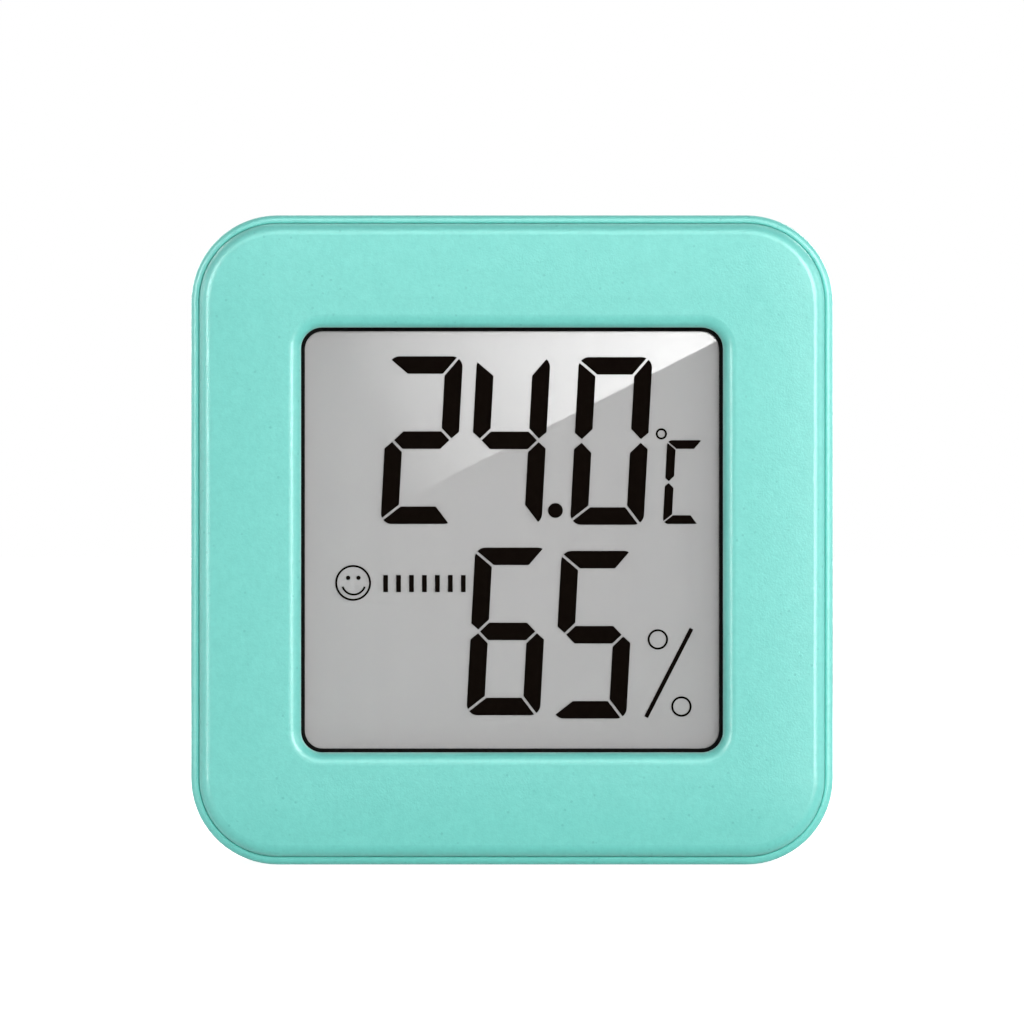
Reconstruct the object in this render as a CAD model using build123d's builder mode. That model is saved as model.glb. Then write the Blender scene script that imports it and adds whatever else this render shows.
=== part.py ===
from build123d import *

import os
from math import radians, sin, tan

# Pocket temperature and humidity sensor, in millimetres, standing on its bottom edge.
# The front faces -Y, +X is the viewer's right and +Z is up. The origin is the middle of the
# footprint: z = 0 is what it stands on, and y = 0 is half way through the case.

# Layers, from the face back to the battery cover
face_thickness = 1.2
window_thickness = 1.0
gasket_thickness = 0.3
polariser_thickness = 0.2
glass_thickness = 0.55
crystal_gap = 0.1
reflector_thickness = 0.25
board_standoff = 1.2
board_thickness = 1.0
contact_height = 0.85
cell_height = 3.2
cell_headroom = 0.3
cover_thickness = 1.8

# Display, as the viewer sees it
view_width = 27.8
view_height = 28.0
view_corner_radius = 1.2
gasket_reveal = 0.225
opening_edge_radius = 0.85

# Display glass and the holder behind it
glass_side_margin = 0.8
glass_end_margin = 1.0
contact_ledge = 2.4
glass_clearance = 0.1
holder_wall = 0.8
holder_ledge = 0.9
holder_front_gap = 0.3
holder_pin_radius = 0.5
holder_pin_clearance = 0.05
holder_pin_tip = 0.3
strip_width = 1.8
strip_end_gap = 1.2
strip_clearance = 0.1
seal_inset = 0.2
seal_width = 0.45
film_inset = 0.2
segment_thickness = 0.06

# Artwork of the display. The sizes are shares of the view's width, but a digit's height and the
# bar's are shares of its height, a digit's stroke, gap and rounding are shares of its width, and
# the mitre's miss, the tip and the heel of a segment are shares of the stroke.
digit_width_share = 0.178
digit_height_share = 0.4025
digit_stroke_share = 0.238
digit_gap_share = 0.034
digit_rounding_share = 0.145
mitre_miss_share = 0.19
segment_tip_share = 0.42
segment_heel_share = 0.36
digit_slant_angle = 3.1
point_radius_share = 0.018
degree_radius_share = 0.0137
scale_letter_size_share = 0.5
percent_ring_radius_share = 0.0247
line_width_share = 0.0049
slash_width_share = 0.01
face_radius_share = 0.0434
eye_radius_share = 0.0052
bar_width_share = 0.0115
bar_height_share = 0.041
bar_pitch_share = 0.0313
bar_count = 7

# Window plate behind the face
window_overlap = 1.1
window_corner_radius = 2.5
window_clearance = 0.1
window_rib_thickness = 0.6
window_rib_height = 0.7

# Case walls and the joint between the two halves
case_corner_radius = 5.8
case_wall = 1.5
back_wall = 1.5
rim_thickness = 0.55
rim_gap = 0.02
rim_edge_radius = 0.4
rim_inner_edge_radius = 0.12
bezel_proud = 1.2
bezel_edge_radius = 0.85
crown_drop = 0.26
crown_width = 4.9
back_edge_radius = 1.8
skirt_depth = 2.65
tongue_length = 2.0
tongue_wall = 0.8
tongue_clearance = 0.05
hook_length = 5.0
hook_height = 0.8
hook_proud = 0.3
hook_clearance = 0.1
hook_tip_gap = 0.6
hook_spacing = 18.0
case_edge_break = 0.2
side_room = 0.35
end_room = 1.1

# Screws that hold the board to the front case
boss_radius = 1.4
boss_clearance = 0.4
boss_end_gap = 0.2
screw_radius = 0.7
screw_length = 4.0
screw_fit = 0.02
screw_hole_depth = 3.8
screw_head_radius = 1.3
screw_head_height = 0.8
screw_head_rounding = 0.3
screw_recess_length = 1.5
screw_recess_width = 0.35
screw_recess_depth = 0.4
board_hole_clearance = 0.1
board_edge_gap = 0.4

# Coin cell
cell_radius = 10.0
can_wall = 0.25
can_edge_radius = 0.25
can_lip = 0.9
can_rim_step = 0.3
cell_gasket_thickness = 0.2
cap_wall = 0.2
cap_depth = 0.95

# Battery cover, its seat and the well round the cell
pocket_clearance = 0.3
pocket_wall = 0.8
pocket_board_gap = 0.3
cover_skirt_wall = 0.55
cover_skirt_clearance = 0.35
cover_flange_thickness = 1.0
cover_running_clearance = 0.15
cover_edge_break = 0.2
seat_overlap = 0.95
ledge_thickness = 0.8
tab_reach = 0.85
tab_thickness = 0.7
tab_clearance = 0.1
tab_end_clearance = 0.2
tab_count = 3
tab_first_angle = 90.0
tab_spread = 24.0
notch_spread = 30.0
unlock_angle = 40.0
stop_spread = 3.0
stop_slack = 1.0
coin_slot_length = 12.0
coin_slot_width = 1.8
coin_slot_depth = 1.0
mark_radius = 0.45
mark_depth = 0.25
mark_inset = 1.5

# Fold-out stand, a U that lies round the battery cover
stand_bottom = 3.4
stand_bar_height = 5.0
stand_leg_width = 3.4
stand_thickness = 1.9
stand_clearance = 0.2
stand_corner_radius = 2.5
stand_edge_break = 0.25
stand_land = 1.0
stand_floor_gap = 0.5
knuckle_radius = 1.1
knuckle_inset = 0.05
knuckle_end_gap = 0.25
hinge_drop = 0.9
hinge_pin_radius = 0.7
hinge_pin_length = 1.2
hinge_pin_clearance = 0.06
hinge_pin_end_gap = 0.15
hinge_boss_wall = 0.8
recess_floor = 0.8
recess_wall = 0.9
finger_notch_width = 10.0
finger_notch_height = 1.4
finger_notch_depth = 1.4
grip_groove_width = 0.5
grip_groove_depth = 0.3
grip_groove_length = 16.0
grip_groove_spacing = 1.2
grip_groove_count = 3

# Unit button and its switch
button_offset = 10.0
button_radius = 1.8
button_clearance = 0.1
button_recess = 0.2
button_dish_radius = 1.1
button_dish_depth = 0.15
button_edge_break = 0.15
button_flange_radius = 2.5
button_flange_thickness = 0.5
button_flange_gap = 0.05
button_stem_radius = 1.0
button_guide_clearance = 0.15
button_guide_wall = 0.65
button_guide_height = 0.9
switch_width = 3.5
switch_height = 1.5
switch_edge_break = 0.15
plunger_radius = 0.8
plunger_proud = 0.5
plunger_depth = 0.6
plunger_hole_depth = 1.0
plunger_clearance = 0.1

# Vents in the back, and the sensor behind them
vent_offset = 9.0
vent_length = 4.2
vent_width = 0.9
vent_pitch = 2.0
vent_count = 5
vent_lower_land = 1.95
vent_upper_land = 3.0
duct_margin = 0.75
duct_wall = 0.8
duct_board_gap = 0.3
sensor_width = 3.0
sensor_height = 0.9
sensor_eye_radius = 0.6
sensor_eye_depth = 0.3

# Other pieces soldered to the board
chip_radius = 4.2
chip_height = 0.9
chip_rounding = 0.6
crystal_length = 3.2
crystal_width = 1.5
crystal_height = 0.8
crystal_lid_inset = 0.2
crystal_lid_height = 0.15
crystal_offset = 2.5
crystal_from_top = 7.3
chip_part_length = 1.6
chip_part_width = 0.8
resistor_height = 0.45
resistor_pitch = 2.0
resistor_count = 4
resistor_offset = 2.5
resistor_from_top = 4.0
capacitor_height = 0.8
capacitor_pitch = 2.6
capacitor_count = 3
capacitor_from_side = 6.1
capacitor_from_top = 15.0

# Contacts that touch the cell
leaf_thickness = 0.2
leaf_width = 3.0
leaf_foot_length = 2.5
leaf_ramp_length = 2.5
leaf_crown_length = 3.0
side_contact_width = 3.0
side_contact_foot = 3.0
side_contact_gap = 0.02
side_contact_reach = 3.2
side_contact_angle = 45.0
side_contact_notch_gap = 0.3

# Depths of the layers, measured from the middle of the case towards the viewer
case_depth = (
    face_thickness + window_thickness + gasket_thickness + polariser_thickness
    + 2 * glass_thickness + crystal_gap + reflector_thickness + board_standoff
    + board_thickness + contact_height + cell_height + cell_headroom + cover_thickness
)
face_level = case_depth / 2
window_level = face_level - face_thickness
gasket_level = window_level - window_thickness
polariser_level = gasket_level - gasket_thickness
front_glass_level = polariser_level - polariser_thickness
crystal_level = front_glass_level - glass_thickness
rear_glass_level = crystal_level - crystal_gap
reflector_level = rear_glass_level - glass_thickness
reflector_back_level = reflector_level - reflector_thickness
board_level = reflector_back_level - board_standoff
board_back_level = board_level - board_thickness
cell_level = board_back_level - contact_height
cell_back_level = cell_level - cell_height
cover_inner_level = cell_back_level - cell_headroom
back_level = -case_depth / 2
back_inner_level = back_level + back_wall
rim_level = face_level - bezel_proud
parting_level = face_level - skirt_depth
tongue_level = parting_level - tongue_length
hook_level = tongue_level + hook_tip_gap + hook_height
holder_level = polariser_level - holder_front_gap

# Battery well radii, from the cell outwards
pocket_radius = cell_radius + pocket_clearance
cover_skirt_inner_radius = cell_radius + cover_skirt_clearance
cover_skirt_radius = cover_skirt_inner_radius + cover_skirt_wall
ledge_radius = cover_skirt_radius + cover_running_clearance
tab_radius = cover_skirt_radius + tab_reach
groove_radius = tab_radius + tab_end_clearance
seat_radius = ledge_radius + seat_overlap + cover_running_clearance
cover_radius = seat_radius - cover_running_clearance
groove_wall_radius = groove_radius + pocket_wall
seat_level = back_level + cover_flange_thickness
ledge_level = seat_level + ledge_thickness
skirt_level = ledge_level + tab_clearance + tab_thickness
groove_level = skirt_level + cover_running_clearance
pocket_end_level = board_back_level - pocket_board_gap

# Stand, from the battery cover's seat outwards
cell_middle_height = (
    stand_bottom + stand_bar_height + stand_clearance + stand_land + seat_radius
)
stand_leg_inner = seat_radius + stand_land + stand_clearance
stand_leg_outer = stand_leg_inner + stand_leg_width
hinge_height = cell_middle_height + seat_radius - hinge_drop
hinge_level = back_level + knuckle_inset + knuckle_radius
recess_level = back_level + stand_thickness + stand_floor_gap
recess_top = hinge_height + knuckle_radius + knuckle_end_gap
tray_level = recess_level + recess_floor
hinge_hole_length = hinge_pin_length + hinge_pin_end_gap
hinge_boss_length = hinge_hole_length + hinge_boss_wall

# Height of the button's and the vents' middles, above the stand
upper_row_height = recess_top + vent_lower_land + vent_length / 2
back_height_need = upper_row_height + vent_length / 2 + vent_upper_land

# Widths and heights, from the display outwards, or from the back's pieces where they need more
opening_width = view_width + 2 * gasket_reveal
opening_height = view_height + 2 * gasket_reveal
opening_corner_radius = view_corner_radius + gasket_reveal
window_width = opening_width + 2 * window_overlap
window_height = opening_height + 2 * window_overlap
glass_width = view_width + 2 * glass_side_margin
glass_height = view_height + 2 * glass_end_margin
front_glass_height = glass_height + contact_ledge
holder_width = glass_width + 2 * (glass_clearance + holder_wall)
holder_height = front_glass_height + 2 * (glass_clearance + holder_wall)
boss_x = holder_width / 2 + boss_clearance + boss_radius
inside_width = 2 * max(boss_x + boss_radius + side_room, stand_leg_outer + hinge_boss_length)
inside_height = max(
    glass_height + 2 * (contact_ledge + glass_clearance + holder_wall + end_room),
    back_height_need - 2 * (tongue_wall + tongue_clearance + case_wall),
)
boss_v = inside_height / 2 - boss_end_gap - boss_radius
tongue_width = inside_width + 2 * tongue_wall
tongue_height = inside_height + 2 * tongue_wall
shell_inside_width = tongue_width + 2 * tongue_clearance
shell_inside_height = tongue_height + 2 * tongue_clearance
case_width = shell_inside_width + 2 * case_wall
case_height = shell_inside_height + 2 * case_wall
shell_inside_radius = case_corner_radius - case_wall
tongue_radius = shell_inside_radius - tongue_clearance
inside_radius = tongue_radius - tongue_wall
rim_inside_width = case_width - 2 * rim_thickness
rim_inside_height = case_height - 2 * rim_thickness
rim_inside_radius = case_corner_radius - rim_thickness
bezel_width = rim_inside_width - 2 * rim_gap
bezel_height = rim_inside_height - 2 * rim_gap
bezel_radius = rim_inside_radius - rim_gap
board_width = shell_inside_width - 2 * board_edge_gap
board_height = shell_inside_height - 2 * board_edge_gap
board_radius = shell_inside_radius - board_edge_gap
middle_height = case_height / 2

# The lower edges that the display's contact ledge moves down
front_glass_drop = contact_ledge / 2
strip_height_place = middle_height - glass_height / 2 - strip_clearance - strip_width / 2
strip_length = view_width - strip_end_gap + 2 * strip_clearance
holder_pin_x = holder_width / 2 - holder_wall / 2


# Levels of the switch
switch_level = board_back_level - switch_height
plunger_level = switch_level - plunger_proud


def facing(level, height=middle_height, x=0):
    """Plane square to the viewer's line of sight, seen from the front: its own x is X and its
    own y is Z, and extruding by a positive amount comes towards the viewer."""
    return Plane(origin=(x, -level, height), x_dir=(1, 0, 0), z_dir=(0, -1, 0))


def around_cell(level):
    """The same plane with its middle on the coin cell's axis."""
    return facing(level, cell_middle_height)


def sector(radius, middle, spread):
    """Adds a pie slice about the sketch's middle, its angles in degrees."""
    with BuildLine() as outline:
        arc = CenterArc((0, 0), radius, middle - spread / 2, spread)
        Line((0, 0), arc @ 0)
        Line((0, 0), arc @ 1)
    make_face(outline.edges())


def tab_sectors(radius, turn, spread):
    """Adds one slice for each bayonet tab, all turned by the same angle."""
    for tab in range(tab_count):
        sector(radius, tab_first_angle + turn + tab * 360 / tab_count, spread)


def stand_outline(grow, top):
    """The stand's U seen from the front with z = 0 at its middle, grown all round."""
    bottom = stand_bottom - grow
    gap_bottom = stand_bottom + stand_bar_height + grow
    with BuildSketch(Plane.XY) as outline:
        with Locations((0, bottom)):
            Rectangle(2 * (stand_leg_outer + grow), top - bottom, align=(Align.CENTER, Align.MIN))
        lower = outline.vertices().group_by(Axis.Y)[0]
        fillet(lower, radius=stand_corner_radius + grow)
        with Locations((0, gap_bottom)):
            Rectangle(
                2 * (stand_leg_inner - grow),
                top - gap_bottom,
                align=(Align.CENTER, Align.MIN),
                mode=Mode.SUBTRACT,
            )
    return outline.sketch


def hook_bars(width, height, length):
    """Adds the bars whose ends are the snap hooks: two across and two up and down."""
    for side in (-1, 1):
        with Locations((0, side * hook_spacing / 2)):
            Rectangle(width, length)
        with Locations((side * hook_spacing / 2, 0)):
            Rectangle(length, height)


# Section of the face's arc at the top edge: x runs down the face and y into the case
crown_section = Plane(
    origin=(0, -face_level, middle_height + bezel_height / 2), x_dir=(0, 0, -1), z_dir=(1, 0, 0)
)

# Front case: the face with its opening, the skirt, and the tongue that snaps into the back case
with BuildPart() as front_case:
    with BuildSketch(facing(face_level)):
        RectangleRounded(bezel_width, bezel_height, bezel_radius)
    extrude(amount=-skirt_depth)
    # The face falls away towards its outer edge in a shallow arc, carried round half the outline
    # and mirrored
    bezel_right, bezel_top = bezel_width / 2, bezel_height / 2
    with BuildLine(facing(face_level)):
        FilletPolyline(
            (0, bezel_top),
            (bezel_right, bezel_top),
            (bezel_right, -bezel_top),
            (0, -bezel_top),
            radius=bezel_radius,
        )
    with BuildSketch(crown_section):
        with BuildLine():
            TangentArc((crown_width, 0), (0, crown_drop), tangent=(-1, 0))
            Polyline((0, crown_drop), (0, 0), (crown_width, 0))
        make_face()
    right_gap = sweep(mode=Mode.SUBTRACT)
    mirror(right_gap, about=Plane.YZ, mode=Mode.SUBTRACT)
    # Edge groups from the front: the flat's outline, the arcs at the corners, the outer edge
    fillet(front_case.edges().group_by(Axis.Y)[2], radius=bezel_edge_radius)
    with BuildSketch(facing(parting_level)):
        RectangleRounded(tongue_width, tongue_height, tongue_radius)
    extrude(amount=-tongue_length)
    with BuildSketch(facing(hook_level)):
        hook_bars(tongue_width + 2 * hook_proud, tongue_height + 2 * hook_proud, hook_length)
    extrude(amount=-hook_height)
    with BuildSketch(facing(window_level)):
        RectangleRounded(inside_width, inside_height, inside_radius)
    extrude(amount=tongue_level - window_level, mode=Mode.SUBTRACT)
    with BuildSketch(facing(face_level)):
        RectangleRounded(opening_width, opening_height, opening_corner_radius)
    extrude(amount=-face_thickness, mode=Mode.SUBTRACT)
    opening_edges = front_case.faces().sort_by(Axis.Y)[0].inner_wires()[0].edges()
    fillet(opening_edges, radius=opening_edge_radius)
    # Low rib that keeps the window in place
    rib_width = window_width + 2 * window_clearance
    rib_height = window_height + 2 * window_clearance
    with BuildSketch(facing(window_level)):
        RectangleRounded(
            rib_width + 2 * window_rib_thickness,
            rib_height + 2 * window_rib_thickness,
            window_corner_radius + window_rib_thickness,
        )
        RectangleRounded(rib_width, rib_height, window_corner_radius, mode=Mode.SUBTRACT)
    extrude(amount=-window_rib_height)
    # Corner posts with their screw holes
    with BuildSketch(facing(window_level)):
        with GridLocations(2 * boss_x, 2 * boss_v, 2, 2):
            Circle(boss_radius)
    extrude(amount=board_level - window_level)
    with BuildSketch(facing(board_level)):
        with GridLocations(2 * boss_x, 2 * boss_v, 2, 2):
            Circle(screw_radius + screw_fit)
    extrude(amount=screw_hole_depth, mode=Mode.SUBTRACT)
front_case.part.label = "front_case"
export_step(front_case.part, "parts/front_case.step")

# Back case: one shell with the battery well, the stand's recess, the vents and the button hole
with BuildPart() as back_case:
    with BuildSketch(facing(back_level)):
        RectangleRounded(case_width, case_height, case_corner_radius)
    extrude(amount=rim_level - back_level)
    fillet(back_case.faces().sort_by(Axis.Y)[-1].edges(), radius=back_edge_radius)
    fillet(back_case.faces().sort_by(Axis.Y)[0].edges(), radius=rim_edge_radius)
    with BuildSketch(facing(back_inner_level)):
        RectangleRounded(shell_inside_width, shell_inside_height, shell_inside_radius)
    extrude(amount=rim_level - back_inner_level, mode=Mode.SUBTRACT)
    with BuildSketch(facing(parting_level)):
        RectangleRounded(rim_inside_width, rim_inside_height, rim_inside_radius)
    extrude(amount=rim_level - parting_level, mode=Mode.SUBTRACT)
    rim_face = back_case.faces().sort_by(Axis.Y)[0]
    fillet(rim_face.inner_wires()[0].edges(), radius=rim_inner_edge_radius)
    with BuildSketch(facing(hook_level + hook_clearance)):
        hook_bars(
            shell_inside_width + 2 * hook_proud,
            shell_inside_height + 2 * hook_proud,
            hook_length + 2 * hook_clearance,
        )
    extrude(amount=-hook_height - 2 * hook_clearance, mode=Mode.SUBTRACT)
    # Walls that stand on the inside of the back
    with BuildSketch(around_cell(back_inner_level)):
        Circle(groove_wall_radius)
    extrude(amount=groove_level + pocket_wall - back_inner_level)
    with BuildSketch(around_cell(groove_level)):
        Circle(pocket_radius + pocket_wall)
    extrude(amount=pocket_end_level - groove_level)
    with BuildSketch(facing(back_inner_level, 0)):
        add(stand_outline(stand_clearance + recess_wall, recess_top + recess_wall))
        with Locations((0, case_wall)):
            Rectangle(
                finger_notch_width + 2 * recess_wall,
                stand_bottom - case_wall,
                align=(Align.CENTER, Align.MIN),
            )
    extrude(amount=tray_level - back_inner_level)
    hinge_boss_radius = hinge_pin_radius + hinge_pin_clearance + hinge_boss_wall
    with BuildSketch(facing(back_inner_level, hinge_height)):
        with GridLocations(2 * stand_leg_outer + hinge_boss_length, 0, 2, 1):
            Rectangle(hinge_boss_length, 2 * hinge_boss_radius)
    extrude(amount=hinge_level + hinge_boss_radius - back_inner_level)
    with BuildSketch(facing(back_inner_level, upper_row_height, -button_offset)):
        Circle(button_flange_radius + button_guide_clearance + button_guide_wall)
    extrude(amount=button_guide_height)
    duct_width = (vent_count - 1) * vent_pitch + vent_width + 2 * duct_margin
    duct_height = vent_length + 2 * duct_margin
    with BuildSketch(facing(back_inner_level, upper_row_height, vent_offset)):
        Rectangle(duct_width + 2 * duct_wall, duct_height + 2 * duct_wall)
        Rectangle(duct_width, duct_height, mode=Mode.SUBTRACT)
    extrude(amount=board_back_level - duct_board_gap - back_inner_level)
    # Battery well: the cover's seat, its ledge with the bayonet notches, the groove, the pocket
    with BuildSketch(around_cell(back_level)):
        Circle(seat_radius)
    extrude(amount=cover_flange_thickness, mode=Mode.SUBTRACT)
    with BuildSketch(around_cell(seat_level)):
        Circle(ledge_radius)
        tab_sectors(groove_radius, -unlock_angle, notch_spread)
    extrude(amount=ledge_thickness, mode=Mode.SUBTRACT)
    with BuildSketch(around_cell(ledge_level)):
        Circle(groove_radius)
    extrude(amount=groove_level - ledge_level, mode=Mode.SUBTRACT)
    with BuildSketch(around_cell(groove_level)):
        Circle(pocket_radius)
    extrude(amount=pocket_end_level - groove_level, mode=Mode.SUBTRACT)
    # Stops in the groove that the tabs rest against when the cover is locked
    stop_turn = (tab_spread + stop_spread) / 2 + stop_slack
    with BuildSketch(around_cell(ledge_level)):
        tab_sectors(groove_wall_radius, stop_turn, stop_spread)
        Circle(cover_skirt_radius + cover_running_clearance, mode=Mode.SUBTRACT)
    extrude(amount=groove_level - ledge_level)
    # Notch in the pocket's wall for the contact that touches the cell's side
    notch_depth = groove_wall_radius - cell_radius
    with BuildSketch(around_cell(groove_level)):
        with PolarLocations(cell_radius + notch_depth / 2, 1, side_contact_angle):
            Rectangle(notch_depth, side_contact_width + 2 * side_contact_notch_gap)
    extrude(amount=pocket_end_level - groove_level, mode=Mode.SUBTRACT)
    # Recess for the stand, its hinge holes and the finger notch
    with BuildSketch(facing(back_level, 0)):
        add(stand_outline(stand_clearance, recess_top))
    extrude(amount=recess_level - back_level, mode=Mode.SUBTRACT)
    with BuildSketch(facing(back_level, 0)):
        with Locations((0, stand_bottom)):
            Rectangle(
                finger_notch_width,
                stand_clearance + finger_notch_height,
                align=(Align.CENTER, Align.MAX),
            )
    extrude(amount=finger_notch_depth, mode=Mode.SUBTRACT)
    for side in (-1, 1):
        hinge_plane = Plane(
            origin=(side * stand_leg_outer, -hinge_level, hinge_height), z_dir=(side, 0, 0)
        )
        with BuildSketch(hinge_plane):
            Circle(hinge_pin_radius + hinge_pin_clearance)
        extrude(amount=hinge_hole_length, mode=Mode.SUBTRACT)
    # Button hole with the guide behind it, and the vents
    with BuildSketch(facing(back_level, upper_row_height, -button_offset)):
        Circle(button_radius + button_clearance)
    extrude(amount=back_wall, mode=Mode.SUBTRACT)
    with BuildSketch(facing(back_inner_level, upper_row_height, -button_offset)):
        Circle(button_flange_radius + button_guide_clearance)
    extrude(amount=button_guide_height, mode=Mode.SUBTRACT)
    with BuildSketch(facing(back_level, upper_row_height, vent_offset)):
        with GridLocations(vent_pitch, 0, vent_count, 1):
            SlotOverall(vent_length, vent_width, rotation=90)
    extrude(amount=back_wall, mode=Mode.SUBTRACT)
    back_openings = back_case.faces().sort_by(Axis.Y)[-1].inner_wires()
    chamfer([edge for wire in back_openings for edge in wire.edges()], length=case_edge_break)
    # Two sunk marks beside the cover: locked and free
    with BuildSketch(around_cell(back_level)):
        for turn in (0, -unlock_angle):
            with PolarLocations(seat_radius + mark_inset / 2 + mark_radius, 1, tab_first_angle + turn):
                Circle(mark_radius)
    extrude(amount=mark_depth, mode=Mode.SUBTRACT)
back_case.part.label = "back_case"
export_step(back_case.part, "parts/back_case.step")

# Clear window, glued behind the face
with BuildPart() as display_window:
    with BuildSketch(facing(window_level)):
        RectangleRounded(window_width, window_height, window_corner_radius)
    extrude(amount=-window_thickness)
display_window.part.label = "display_window"
export_step(display_window.part, "parts/display_window.step")

# Black foam gasket between the window and the display, its inner edge just in view
with BuildPart() as window_gasket:
    with BuildSketch(facing(gasket_level)):
        RectangleRounded(window_width, window_height, window_corner_radius)
        RectangleRounded(view_width, view_height, view_corner_radius, mode=Mode.SUBTRACT)
    extrude(amount=-gasket_thickness)
window_gasket.part.label = "window_gasket"
export_step(window_gasket.part, "parts/window_gasket.step")

# Polarising film on the front glass
with BuildPart() as front_polariser:
    with BuildSketch(facing(polariser_level)):
        Rectangle(glass_width - 2 * film_inset, glass_height - 2 * film_inset)
    extrude(amount=-polariser_thickness)
front_polariser.part.label = "front_polariser"
export_step(front_polariser.part, "parts/front_polariser.step")

# Front glass, longer than the rear one by the ledge that the contact strip presses on
with BuildPart() as lcd_front_glass:
    with BuildSketch(facing(front_glass_level, middle_height - front_glass_drop)):
        Rectangle(glass_width, front_glass_height)
    extrude(amount=-glass_thickness)
lcd_front_glass.part.label = "lcd_front_glass"
export_step(lcd_front_glass.part, "parts/lcd_front_glass.step")

# Seal that closes the liquid crystal in between the two glasses
with BuildPart() as lcd_seal:
    with BuildSketch(facing(crystal_level)):
        Rectangle(glass_width - 2 * seal_inset, glass_height - 2 * seal_inset)
        Rectangle(
            glass_width - 2 * (seal_inset + seal_width),
            glass_height - 2 * (seal_inset + seal_width),
            mode=Mode.SUBTRACT,
        )
    extrude(amount=-crystal_gap)
lcd_seal.part.label = "lcd_seal"
export_step(lcd_seal.part, "parts/lcd_seal.step")

with BuildPart() as lcd_rear_glass:
    with BuildSketch(facing(rear_glass_level)):
        Rectangle(glass_width, glass_height)
    extrude(amount=-glass_thickness)
lcd_rear_glass.part.label = "lcd_rear_glass"
export_step(lcd_rear_glass.part, "parts/lcd_rear_glass.step")

# Rear polariser with its silvery reflector
with BuildPart() as lcd_reflector:
    with BuildSketch(facing(reflector_level)):
        Rectangle(glass_width - 2 * film_inset, glass_height - 2 * film_inset)
    extrude(amount=-reflector_thickness)
lcd_reflector.part.label = "lcd_reflector"
export_step(lcd_reflector.part, "parts/lcd_reflector.step")

# Sizes of the display's artwork
slant = tan(radians(digit_slant_angle))
digit_width = digit_width_share * view_width
digit_height = digit_height_share * view_height
digit_stroke = digit_stroke_share * digit_width
digit_gap = digit_gap_share * digit_width
digit_rounding = digit_rounding_share * digit_width
line_width = line_width_share * view_width
percent_ring_radius = percent_ring_radius_share * view_width

# Places on the view, each as shares of its width and height from its middle. The digits come with
# their lit segments, named clockwise from the top with g in the middle, and lower left corner.
digit_shares = (
    ("abged", -0.318, 0.038),
    ("fgbc", -0.1065, 0.0375),
    ("abcdef", 0.14, 0.036),
    ("afgedc", -0.1105, -0.421),
    ("afgcd", 0.098, -0.429),
)
point_share = (0.105, 0.0704)
degree_share = (0.361, 0.2543)
scale_letter_share = (0.3645, 0.038)
percent_slash_shares = ((0.434, -0.213), (0.324, -0.4255))
percent_ring_shares = ((0.3525, -0.239), (0.4095, -0.4))
face_share = (-0.384, -0.1034)
eye_shares = ((-0.396, -0.0911), (-0.371, -0.0911))
mouth_shares = ((-0.4095, -0.1125), (-0.384, -0.1314), (-0.356, -0.1125))
bar_first_share = (-0.3055, -0.105)


def on_view(share):
    """Place on the view, in millimetres from its middle, of a pair of shares."""
    return (share[0] * view_width, share[1] * view_height)


def seven_segment(lit, size=1.0):
    """One seven-segment figure with its lower left corner at zero: mitred bars whose middle ends
    are pointed, leaned over by the slant, inside an outline with rounded corners. The mitres miss
    the outline's corners: those on the left run out below and above them, the others beside."""
    w, h, t = size * digit_width, size * digit_height, size * digit_stroke
    half_gap = size * digit_gap * sin(radians(45))
    miss, tip = mitre_miss_share * t, segment_tip_share * t
    m, shoulder, reach = h / 2, h - t - half_gap, tip + half_gap
    toe, heel = m + half_gap + t - tip, m + half_gap + segment_heel_share * t
    top = ((half_gap, h), (w - miss - half_gap, h), (w - t - half_gap, h - t),
           (t + half_gap, h - t), (half_gap, h - miss))
    left = ((0, h - miss - half_gap), (t, shoulder), (t, toe), (tip, m + half_gap), (0, heel))
    right = ((w, h - half_gap), (w - miss, h - half_gap), (w - t, shoulder), (w - t, toe),
             (w - tip, m + half_gap), (w, heel))
    middle = ((reach, m), (reach + t / 2, m + t / 2), (w - reach - t / 2, m + t / 2),
              (w - reach, m), (w - reach - t / 2, m - t / 2), (reach + t / 2, m - t / 2))
    bars = {"a": top, "b": right, "f": left, "g": middle}
    for upper, lower in (("a", "d"), ("b", "c"), ("f", "e")):
        bars[lower] = tuple((x, h - y) for x, y in bars[upper])
    with BuildSketch(Plane.XY) as outline:
        Polygon((0, 0), (w, 0), (w + h * slant, h), (h * slant, h), align=None)
        fillet(outline.vertices(), radius=size * digit_rounding)
    with BuildSketch(Plane.XY) as figure:
        for name in lit:
            Polygon(*((x + y * slant, y) for x, y in bars[name]), align=None)
        add(outline.sketch, mode=Mode.INTERSECT)
    return figure.sketch


def ring(radius):
    """Adds a drawn circle of the thin line's width."""
    Circle(radius)
    Circle(radius - line_width, mode=Mode.SUBTRACT)


# Large figures and the decimal point
with BuildPart() as lcd_digits:
    with BuildSketch(facing(crystal_level)):
        for lit, across, up in digit_shares:
            with Locations(on_view((across, up))):
                add(seven_segment(lit))
        with Locations(on_view(point_share)):
            Circle(point_radius_share * view_width)
    extrude(amount=-segment_thickness)
lcd_digits.part.label = "lcd_digits"
export_step(lcd_digits.part, "parts/lcd_digits.step")

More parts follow.
